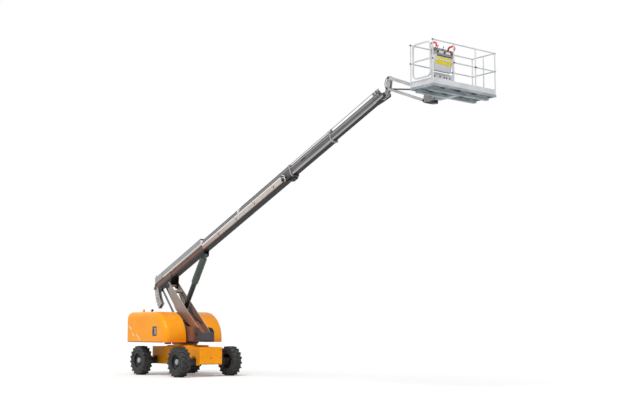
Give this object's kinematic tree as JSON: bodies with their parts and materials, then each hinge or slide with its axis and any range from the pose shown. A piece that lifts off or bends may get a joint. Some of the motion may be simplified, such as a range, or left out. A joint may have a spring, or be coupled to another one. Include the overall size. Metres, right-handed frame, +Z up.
{
  "type": "telescopic boom lift",
  "caption": "Self-propelled work platform: four-wheel chassis, slewing turntable, telescoping boom on a riser arm, levelled jib and a railed platform with console and side gate.",
  "frame": {"origin": "on the ground under the slew axis", "axes": "+X towards the platform with the boom in line with the chassis, +Y to the machine's left, +Z up"},
  "size_m": [16.12, 2.465, 9.42],
  "materials": {
    "orange_plastic": "gloss",
    "orange_paint": "gloss",
    "black_steel": "satin",
    "tyre_rubber": "matte",
    "rim_paint": "satin",
    "ballast_iron": "rough",
    "engine_alloy": "rough",
    "tank_plastic": "matte",
    "beacon_lens": "gloss",
    "black_plastic": "matte",
    "arm_paint": "satin",
    "tie_paint": "satin",
    "boom_paint": "satin",
    "light_grey_paint": "satin",
    "galvanised": "satin",
    "cylinder_paint": "satin",
    "cylinder_black": "gloss",
    "rod_chrome": "polished",
    "platform_alloy": "satin",
    "console_paint": "satin",
    "guard_paint": "gloss"
  },
  "bodies": {
    "chassis": {"chassis_frame": "orange_paint", "front_axle": "black_steel", "rear_axle": "black_steel"},
    "knuckle_left_body": {"knuckle_left": "black_steel"},
    "knuckle_right_body": {"knuckle_right": "black_steel"},
    "wheel_front_left": {"tyre_front_left": "tyre_rubber", "rim_front_left": "rim_paint"},
    "wheel_front_right": {"tyre_front_right": "tyre_rubber", "rim_front_right": "rim_paint"},
    "wheel_rear_left": {"tyre_rear_left": "tyre_rubber", "rim_rear_left": "rim_paint"},
    "wheel_rear_right": {"tyre_rear_right": "tyre_rubber", "rim_rear_right": "rim_paint"},
    "turntable": {"slew_ring": "black_steel", "turntable_frame": "black_steel", "counterweight": "ballast_iron", "engine_block": "engine_alloy", "fluid_tanks": "tank_plastic"},
    "cover_right_body": {"cover_right": "orange_plastic", "beacon": "beacon_lens", "horn": "black_plastic"},
    "cover_left_body": {"cover_left": "orange_plastic"},
    "arm": {"arm_plates": "arm_paint"},
    "tie": {"tie_bars": "tie_paint"},
    "boom": {"boom_section_1": "boom_paint", "hose_guide": "light_grey_paint", "hose_duct": "light_grey_paint", "cable_tray": "galvanised"},
    "lift_barrel_body": {"lift_barrel": "cylinder_paint"},
    "lift_stage_body": {"lift_stage": "cylinder_black"},
    "lift_rod_body": {"lift_rod": "rod_chrome"},
    "boom_2": {"boom_section_2": "boom_paint"},
    "boom_3": {"boom_section_3": "boom_paint"},
    "level_head_body": {"level_head": "light_grey_paint"},
    "jib_lower": {"jib_lower_arms": "light_grey_paint"},
    "jib_upper": {"jib_upper_arms": "light_grey_paint"},
    "jib_barrel_body": {"jib_barrel": "cylinder_black"},
    "jib_rod_body": {"jib_rod": "rod_chrome"},
    "jib_post_body": {"jib_post": "cylinder_black"},
    "platform": {"platform_floor": "platform_alloy", "rail_rear": "platform_alloy", "rail_front": "platform_alloy", "rail_left": "platform_alloy", "rail_right": "platform_alloy", "control_console": "console_paint", "console_guards": "guard_paint"},
    "gate_body": {"gate": "platform_alloy"}
  },
  "joints": [
    {"name": "slew", "type": "hinge", "parent": "chassis", "child": "turntable", "pos_m": [0, 0, 1.13], "axis": [0, 0, 1], "continuous": true},
    {"name": "steer_right", "type": "hinge", "parent": "chassis", "child": "knuckle_right_body", "pos_m": [1.3, -0.79, 0.52], "axis": [0, 0, 1], "range_deg": [-35, 35]},
    {"name": "steer_left", "type": "hinge", "parent": "chassis", "child": "knuckle_left_body", "pos_m": [1.3, 0.79, 0.52], "axis": [0, 0, 1], "range_deg": [-35.5, 35.5]},
    {"name": "wheel_front_left_spin", "type": "hinge", "parent": "knuckle_left_body", "child": "wheel_front_left", "pos_m": [1.3, 1.055, 0.52], "axis": [0, 1, 0], "continuous": true},
    {"name": "wheel_front_right_spin", "type": "hinge", "parent": "knuckle_right_body", "child": "wheel_front_right", "pos_m": [1.3, -1.055, 0.52], "axis": [0, 1, 0], "continuous": true},
    {"name": "wheel_rear_left_spin", "type": "hinge", "parent": "chassis", "child": "wheel_rear_left", "pos_m": [-1.3, 1.055, 0.52], "axis": [0, 1, 0], "continuous": true},
    {"name": "wheel_rear_right_spin", "type": "hinge", "parent": "chassis", "child": "wheel_rear_right", "pos_m": [-1.3, -1.055, 0.52], "axis": [0, 1, 0], "continuous": true},
    {"name": "cover_right_lift", "type": "hinge", "parent": "turntable", "child": "cover_right_body", "pos_m": [-0.775, -0.36, 2.24], "axis": [-1, 0, 0], "range_deg": [0, 60]},
    {"name": "cover_left_lift", "type": "hinge", "parent": "turntable", "child": "cover_left_body", "pos_m": [-0.775, 0.36, 2.24], "axis": [1, 0, 0], "range_deg": [0, 60]},
    {"name": "lift", "type": "hinge", "parent": "turntable", "child": "arm", "pos_m": [1.165, 0, 1.49], "axis": [0, 1, 0], "range_deg": [-22.5, 40]},
    {"name": "boom_pivot", "type": "hinge", "parent": "arm", "child": "boom", "pos_m": [-0.93, 0, 3.23], "axis": [0, -1, 0], "range_deg": [-45.5, 80.5]},
    {"name": "tie_foot", "type": "hinge", "parent": "turntable", "child": "tie", "pos_m": [0.114, 0, 1.414], "axis": [0, 1, 0], "range_deg": [-27, 48]},
    {"name": "lift_barrel_pivot", "type": "hinge", "parent": "boom", "child": "lift_barrel_body", "pos_m": [1.213, 0, 4.253], "axis": [0, 1, 0], "range_deg": [-10.5, 18.5]},
    {"name": "lift_stage_slide", "type": "slide", "parent": "lift_barrel_body", "child": "lift_stage_body", "axis": [-0.5627, 0, -0.8266], "range_m": [-0.33, 0.58]},
    {"name": "lift_rod_slide", "type": "slide", "parent": "lift_stage_body", "child": "lift_rod_body", "axis": [-0.5627, 0, -0.8266], "range_m": [-0.435, 0.77]},
    {"name": "boom_extend", "type": "slide", "parent": "boom", "child": "boom_2", "axis": [0.9239, 0, 0.3827], "range_m": [-2.05, 1.8]},
    {"name": "boom_extend_outer", "type": "slide", "parent": "boom_2", "child": "boom_3", "axis": [0.9239, 0, 0.3827], "range_m": [-2.06, 1.81]},
    {"name": "level_head_pivot", "type": "hinge", "parent": "boom_3", "child": "level_head_body", "pos_m": [10.8, 0, 8.42], "axis": [0, 1, 0], "range_deg": [-23, 40.5]},
    {"name": "jib", "type": "hinge", "parent": "level_head_body", "child": "jib_lower", "pos_m": [10.9, 0, 8.58], "axis": [0, -1, 0], "range_deg": [-38, 85]},
    {"name": "jib_upper_pivot", "type": "hinge", "parent": "level_head_body", "child": "jib_upper", "pos_m": [10.96, 0, 8.89], "axis": [0, -1, 0], "range_deg": [-38.5, 85.5]},
    {"name": "jib_post_pivot", "type": "hinge", "parent": "jib_lower", "child": "jib_post_body", "pos_m": [12.4, 0, 7.98], "axis": [0, 1, 0], "range_deg": [-38.5, 85.5]},
    {"name": "jib_barrel_pivot", "type": "hinge", "parent": "level_head_body", "child": "jib_barrel_body", "pos_m": [10.9, 0, 8.58], "axis": [0, -1, 0], "range_deg": [-37, 81.5]},
    {"name": "jib_rod_slide", "type": "slide", "parent": "jib_barrel_body", "child": "jib_rod_body", "axis": [0.9832, 0, -0.1828], "range_m": [-0.17, 0.36]},
    {"name": "platform_turn", "type": "hinge", "parent": "jib_post_body", "child": "platform", "pos_m": [12.75, 0, 8], "axis": [0, 0, 1], "range_deg": [-85, 85]},
    {"name": "gate_swing", "type": "hinge", "parent": "platform", "child": "gate_body", "pos_m": [13.85, -1.2, 8.7], "axis": [0, 0, -1], "range_deg": [0, 85]}
  ],
  "couplings": [
    {"joint": "steer_left", "follows": "steer_right", "ratio": 1},
    {"joint": "boom_pivot", "follows": "lift", "ratio": 2},
    {"joint": "tie_foot", "follows": "lift", "ratio": 1.19},
    {"joint": "lift_barrel_pivot", "follows": "lift", "ratio": 0.45},
    {"joint": "lift_stage_slide", "follows": "lift", "m_per_rad": 0.82506},
    {"joint": "lift_rod_slide", "follows": "lift", "m_per_rad": 1.0921},
    {"joint": "level_head_pivot", "follows": "lift", "ratio": 1},
    {"joint": "boom_extend_outer", "follows": "boom_extend", "ratio": 1},
    {"joint": "jib_upper_pivot", "follows": "jib", "ratio": 1},
    {"joint": "jib_post_pivot", "follows": "jib", "ratio": 1},
    {"joint": "jib_barrel_pivot", "follows": "jib", "ratio": 0.93},
    {"joint": "jib_rod_slide", "follows": "jib", "m_per_rad": 0.2406}
  ]
}
